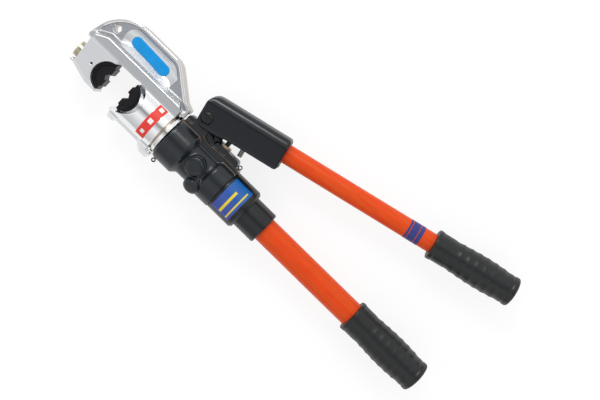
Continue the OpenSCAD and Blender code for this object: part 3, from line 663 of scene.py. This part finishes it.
def scallop_cutter():
    """An upright cylinder that opens the ram's side of the throat a little."""
    radius = 22.4 * MM
    place = Matrix.Translation((33.4 * MM, 3.2 * MM, 0))
    form = bmesh.new()
    bmesh.ops.create_cone(
        form, cap_ends=True, segments=96, radius1=radius, radius2=radius, depth=80 * MM, matrix=place
    )
    mesh = bpy.data.meshes.new("cutter")
    form.to_mesh(mesh)
    form.free()
    cutter = bpy.data.objects.new("cutter", mesh)
    bpy.context.scene.collection.objects.link(cutter)
    return cutter


def make_head():
    """The forging, and the chrome band behind it with a recess before it, coloured bronze as a painted warm
    reflection.
    """
    masks = {"jaw": on_jaw, "flange": on_flange, "web": on_web, "wall": on_wall}
    cutter = scallop_cutter()
    soften("head_frame", "head_steel", HEAD_VOXEL, 3, masks=masks, cutter=cutter, plain=on_dull_edge)
    bpy.data.objects.remove(cutter)
    low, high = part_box("swivel_band")
    radius = high.y
    inner = radius - 4 * MM
    groove = radius - 1.8 * MM
    step = low.x + 2.4 * MM
    edge = 1.2 * MM
    band = fillet([(step, inner), (step, radius, edge), (high.x, radius, edge), (high.x, inner)])
    add("swivel_band_form", lathe(band), "head", "chrome_ring", "swivel_band")
    # Painted reflection: the recess in front of the band is bronze, as if the gap mirrored something warm
    recess = [(low.x, inner), (low.x, groove), (step, groove), (step, inner)]
    add("swivel_recess", lathe(recess), "head", "bronze")


def make_button():
    """Ribbed outer end for the lock button, and a dark disc of painted shade in the mouth of the cross pin's hole.
    """
    slim, ribs, rib_depth, proud = 0.96, 24, 0.035, 0.7
    mesh = voxels("jaw_button", SMALL_VOXEL, 3)[0]
    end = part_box("head_frame")[0].x - 0.3 * MM
    for vertex in mesh.vertices:
        at = vertex.co
        at.yz = at.yz * slim
        if at.x < end:
            depth = rib_depth * (0.5 + 0.5 * math.cos(ribs * math.atan2(at.z, at.y)))
            at.x = end + proud * (at.x - end)
            at.yz = at.yz * (1 - depth)
    add("jaw_button_form", mesh, "lock_button", "button_gold", "jaw_button")
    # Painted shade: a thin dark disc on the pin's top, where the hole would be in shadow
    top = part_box("jaw_cross_pin")[1].z
    at = middle("jaw_cross_pin")
    hole = place_along((at.x, at.y, top), UP)
    add("cross_pin_painted_shade", disc(hole, 1.4 * MM, 0.7 * MM), "head", "die_black")


def make_plate():
    """The label plate, a little thicker and with a soft edge, bare."""
    low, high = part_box("label_plate")
    half_way = (low.z + high.z) / 2
    form = welded("label_plate")
    for vertex in form.verts:
        vertex.co.z = PLATE_TOP if vertex.co.z > half_way else POCKET_FLOOR - MM
    steep = 1.0
    rim = [
        edge for edge in form.edges
        if all(v.co.z > POCKET_FLOOR for v in edge.verts) and edge.calc_face_angle(0.0) > steep
    ]
    bmesh.ops.bevel(form, geom=rim, offset=0.5 * MM, segments=2, affect="EDGES", profile=0.5)
    add("label_plate_form", finished(form, "label_plate"), "head", "plate_blue", "label_plate")


# Where the painted shade sits in the mouth of the detent's hole
DETENT_SHADE_AT = Vector((48 * MM, 16.8 * MM, 14.8 * MM))


def make_dies():
    """The two dies, and a dark disc of painted shade in the mouth of the detent's hole in the ram."""
    for node in ("fixed_die", "moving_die"):
        soften(node, "die_black", SMALL_VOXEL, 2, edge_reach=0.9 * MM)
    # Painted shade: a thin dark disc where the detent's hole would be in shadow
    hole = place_along(DETENT_SHADE_AT, (0, DETENT_SHADE_AT.y, DETENT_SHADE_AT.z))
    add("detent_painted_shade", disc(hole, 2 * MM, 0.3 * MM), "ram", "die_black")


# Plain bars on the notice panel: ends along X, then angles from +Z towards +Y.
# Squares on the size band: name, angles, and margin along X.
BARS = ((211.7 * MM, 215.4 * MM, -42, 26), (223.6 * MM, 225.4 * MM, -44, 43))
SQUARES = (("a", 35, 46, 3.4 * MM), ("b", -3, 9, 3.4 * MM), ("c", -34, -24, 3.9 * MM))
PANEL_SPAN = (-48, 55)


def on_bar(at):
    angle = math.degrees(math.atan2(at.y, at.z))
    return any(x0 < at.x < x1 and low < angle < high for x0, x1, low, high in BARS)


def make_print():
    """Blank squares on the size band, and the notice panel with plain bars."""
    low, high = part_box("size_band")
    radius = high.z + 0.02 * MM
    for name, start, end, margin in SQUARES:
        mesh = patch(low.x + margin, high.x - margin, radius, start, end)
        add("size_square_" + name, mesh, "head", "white_plastic")
    low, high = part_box("notice_panel")
    thick = 0.4 * MM
    mesh = patch(low.x, high.x, high.z - thick, *PANEL_SPAN, thick=thick, rows=90, columns=56)
    keep_mask(mesh, "bar", [float(on_bar(v.co)) for v in mesh.vertices])
    keep_mask(mesh, "side", [unit(0.4 + v.co.y / (40 * MM)) for v in mesh.vertices])
    add("notice_panel_form", mesh, "pump", "notice_blue", "notice_panel")


# Black bodies. Across the handle, the fork's back lies towards +Y of its place, its open side towards -Y.
# Band of the pump body's flank that takes the painted copper-coloured reflection
SEAM_HIGHLIGHT_SPAN = (24 * MM, 38 * MM)
SEAM_HIGHLIGHT_LOW = 13.5 * MM
FORK_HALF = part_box("fork")[1].z
FORK_ROUND = (13 * MM, 0.15)
FORK_LEAN = (4 * MM, 8 * MM, 3.6 * MM)
FORK_DROP = (4 * MM, 10 * MM, 2.4 * MM)
IN_HANDLE = HANDLE.inverted()
BOSS_AT = (147.5 * MM, 30 * MM, 0)
BOSS_ALONG = (0, 1, 0)


def on_seam_highlight(at, facing):
    return SEAM_HIGHLIGHT_SPAN[0] < at.y < SEAM_HIGHLIGHT_SPAN[1] and abs(at.z) > SEAM_HIGHLIGHT_LOW


def drafted(at, back):
    """A fork's point, leaned in and rounded off towards its back, and let down a little on the open side."""
    local = IN_HANDLE @ at
    reach, share = FORK_ROUND
    local.z *= 1 - share * unit(1 - (back - local.y) / reach) ** 2
    start, blend, most = FORK_LEAN
    local.y -= most * unit((local.y - start) / blend) * (abs(local.z) / FORK_HALF) ** 1.5
    start, blend, most = FORK_DROP
    local.y -= most * unit((-local.y - start) / blend)
    return HANDLE @ local


def make_bodies():
    """The pump body, the fork, and the boss that the plunger's gland sits in."""
    soften("pump_body", "body_black", BODY_VOXEL, 8, masks={"seam_highlight": on_seam_highlight})
    mesh = voxels("fork", BODY_VOXEL, 5)[0]
    back = max((IN_HANDLE @ vertex.co).y for vertex in mesh.vertices)
    for vertex in mesh.vertices:
        vertex.co = drafted(vertex.co, back)
    add("fork_form", smoothed_more(mesh, 26), "handle", "fork_black", "fork")
    radius, height = 8 * MM, 15 * MM
    boss = fillet([(0, 0), (0, radius), (height, radius, 4 * MM), (height, 0)])
    add("gland_boss", lathe(boss, place_along(BOSS_AT, BOSS_ALONG), sides=48), "pump", "body_black")


def make_cap(node, place, slot, step, head, rim, inset, foot=0.0, dish=0.0):
    """A turned cap or pin, whose head stands a step out from its stem, with sizes in millimetres.

    rim is (depth below the top, rounding) and inset is (distance in from the rim, rounding). foot is the
    rounding of the stem's end, and dish the depth of the top's middle.
    """
    start, end, radius = along_axis(node, place)
    seat = end - head * MM
    stem = radius - step * MM
    outline = fillet([
        (start, 0), (start, stem, foot * MM), (seat, stem), (seat, radius),
        (end - rim[0] * MM, radius, rim[1] * MM), (end, radius - inset[0] * MM, inset[1] * MM),
        (end - dish * MM, 0)
    ])
    add(node + "_form", lathe(outline, place), BODY_OF[node], slot, node)


def make_caps():
    up = place_along(middle("valve_cap"), UP)
    make_cap("valve_cap", up, "body_black", step=4, head=7, rim=(1.2, 2), inset=(4, 6), dish=0.4)
    tilted = place_along(middle("relief_ball"), middle("relief_spring") - middle("relief_ball"))
    make_cap("relief_cap", tilted, "body_black", step=5, head=8, rim=(2.2, 2), inset=(4, 5))
    pivot = place_along(Vector(JOINTS["handle_swing"]["pos_m"]), UP)
    make_cap("pivot_pin", pivot, "wire_black", step=1.6, head=3.2, rim=(1.8, 0.8), inset=(3, 3), foot=0.6)


# Grips
def grip_outline(start, end, radius, bore):
    """Front collar, plain stretch, shallow scallops on a slight belly, neck and end flange."""
    body = radius - 0.8 * MM
    flange = radius - 0.5 * MM
    collar = start + 5 * MM
    plain = start + 0.2 * (end - start)
    tail = end - 13 * MM
    made = fillet([
        (collar, bore), (start, bore), (start, radius, 1.6 * MM), (collar, radius, 2.4 * MM),
        (start + 7.5 * MM, body, 2 * MM), (plain, body)
    ])
    scallops, steps, depth, swell = 7, 12, 0.75 * MM, 1.9 * MM
    for k in range(1, scallops * steps + 1):
        share = k / (scallops * steps)
        belly = swell * math.sin(math.pi * share ** 1.2)
        dip = depth * abs(math.sin(math.pi * k / steps))
        made.append((plain + (tail - plain) * share, body + belly - dip))
    made += fillet([
        (tail, body), (end - 8.5 * MM, body - 0.6 * MM, 2 * MM), (end - 6.5 * MM, flange, 1.4 * MM),
        (end - 1.5 * MM, flange, 3 * MM), (end, radius - 5 * MM, 3 * MM), (end, 0)
    ])
    return made


def make_grips():
    for node, place, tube in (("fixed_grip", RAM, "fixed_tube"), ("pump_grip", HANDLE, "pump_tube")):
        start, end, radius = along_axis(node, place)
        bore = along_axis(tube, place)[2]
        mesh = lathe(grip_outline(start, end, radius, bore), place, sides=128)
        add(node + "_form", mesh, BODY_OF[node], "grip_rubber", node)


# Sleeves round the fixed tube
def make_sleeves():
    tube = along_axis("fixed_tube", RAM)[2]
    start, end, radius = along_axis("label_sleeve", RAM)
    outline = fillet([
        (start, radius - 6 * MM), (start, radius, 1.2 * MM), (end - 3 * MM, radius, 4 * MM),
        (end, radius - 3 * MM, 1.2 * MM), (end, tube)
    ])
    add("label_sleeve_form", lathe(outline), "pump", "sleeve_black", "label_sleeve")
    start, end, radius = along_axis("rear_sleeve", RAM)
    outline = fillet([(start, tube), (start, radius), (end, radius, 2.4 * MM), (end, tube)])
    add("rear_sleeve_form", lathe(outline), "pump", "sleeve_black", "rear_sleeve")


# Nodes that stay as they are take the look of their slot
def dress_nodes():
    for piece in NODES.values():
        slot = piece.data.materials[0].name.split(".")[0]
        piece.data.materials[0] = LOOKS[slot]


# Floor: matt paint that keeps the shadow, mixed with a white glow for the rays that see it
FLOOR_SIZE = 8.0
FLOOR_GREY = (0.9, 0.9, 0.9, 1)
FLOOR_GLOW = 1.05
GLOW_SHARE = 0.8


def floor_paint():
    material = bpy.data.materials.new("floor")
    material.use_nodes = True
    tree = material.node_tree
    make, join = tree.nodes.new, tree.links.new
    bsdf = tree.nodes["Principled BSDF"]
    bsdf.inputs["Base Color"].default_value = FLOOR_GREY
    bsdf.inputs["Roughness"].default_value = 0.9
    glow = make("ShaderNodeEmission")
    glow.inputs["Strength"].default_value = FLOOR_GLOW
    path = make("ShaderNodeLightPath")
    seen = path.outputs["Is Camera Ray"]
    for ray in ("Is Glossy Ray", "Is Transmission Ray"):
        either = make("ShaderNodeMath")
        either.operation = "MAXIMUM"
        join(seen, either.inputs[0])
        join(path.outputs[ray], either.inputs[1])
        seen = either.outputs[0]
    share = make("ShaderNodeMath")
    share.operation = "MULTIPLY"
    share.inputs[1].default_value = GLOW_SHARE
    join(seen, share.inputs[0])
    mix = make("ShaderNodeMixShader")
    join(share.outputs[0], mix.inputs["Fac"])
    join(bsdf.outputs[0], mix.inputs[1])
    join(glow.outputs[0], mix.inputs[2])
    join(mix.outputs[0], tree.nodes["Material Output"].inputs["Surface"])
    return material


def make_floor():
    form = bmesh.new()
    bmesh.ops.create_grid(form, x_segments=1, y_segments=1, size=FLOOR_SIZE)
    mesh = bpy.data.meshes.new("floor")
    form.to_mesh(mesh)
    form.free()
    mesh.materials.append(floor_paint())
    floor = bpy.data.objects.new("floor", mesh)
    bpy.context.scene.collection.objects.link(floor)
    floor.location.z = cad_low.z - 0.1 * MM


# Brightness of the surroundings from the -Y side to the +Y side: a dim gap between two white walls
WALLS = (
    (-1.0, 0.6), (-0.35, 0.68), (-0.08, 0.68), (0.06, 0.42),
    (0.14, 0.25), (0.22, 0.4), (0.34, 1.0), (1.0, 1.05)
)


def make_world():
    world = bpy.data.worlds.new("studio")
    world.use_nodes = True
    tree = world.node_tree
    place = tree.nodes.new("ShaderNodeTexCoord")
    split = tree.nodes.new("ShaderNodeSeparateXYZ")
    span = tree.nodes.new("ShaderNodeMapRange")
    span.inputs["From Min"].default_value = -1.0
    ramp = tree.nodes.new("ShaderNodeValToRGB")
    first, last = ramp.color_ramp.elements
    for side, level in WALLS:
        element = {-1.0: first, 1.0: last}.get(side) or ramp.color_ramp.elements.new((side + 1) / 2)
        element.color = (level, level, level, 1)
    tree.links.new(place.outputs["Generated"], split.inputs[0])
    tree.links.new(split.outputs["Y"], span.inputs["Value"])
    tree.links.new(span.outputs["Result"], ramp.inputs["Fac"])
    tree.links.new(ramp.outputs["Color"], tree.nodes["Background"].inputs["Color"])
    bpy.context.scene.world = world


# One large lamp above the head's far side
LAMP_AT = Vector((-0.45, 0.95, 1.1))
LAMP_AIM = Vector((0.27, 0.06, 0.0))
LAMP_SIZE = (0.8, 0.4)
LAMP_WATTS = 8


def make_lamp():
    data = bpy.data.lights.new("key", "AREA")
    data.shape = "RECTANGLE"
    data.size, data.size_y = LAMP_SIZE
    data.energy = LAMP_WATTS
    lamp = bpy.data.objects.new("key", data)
    lamp.location = LAMP_AT
    lamp.rotation_euler = (LAMP_AIM - LAMP_AT).to_track_quat("-Z", "Y").to_euler()
    bpy.context.scene.collection.objects.link(lamp)


make_camera()
make_floor()
make_world()
make_lamp()
dress_nodes()
make_head()
make_button()
make_plate()
make_pocket()
make_dies()
make_print()
make_bodies()
make_caps()
make_grips()
make_sleeves()

scene = bpy.context.scene
scene.view_settings.view_transform = "Standard"
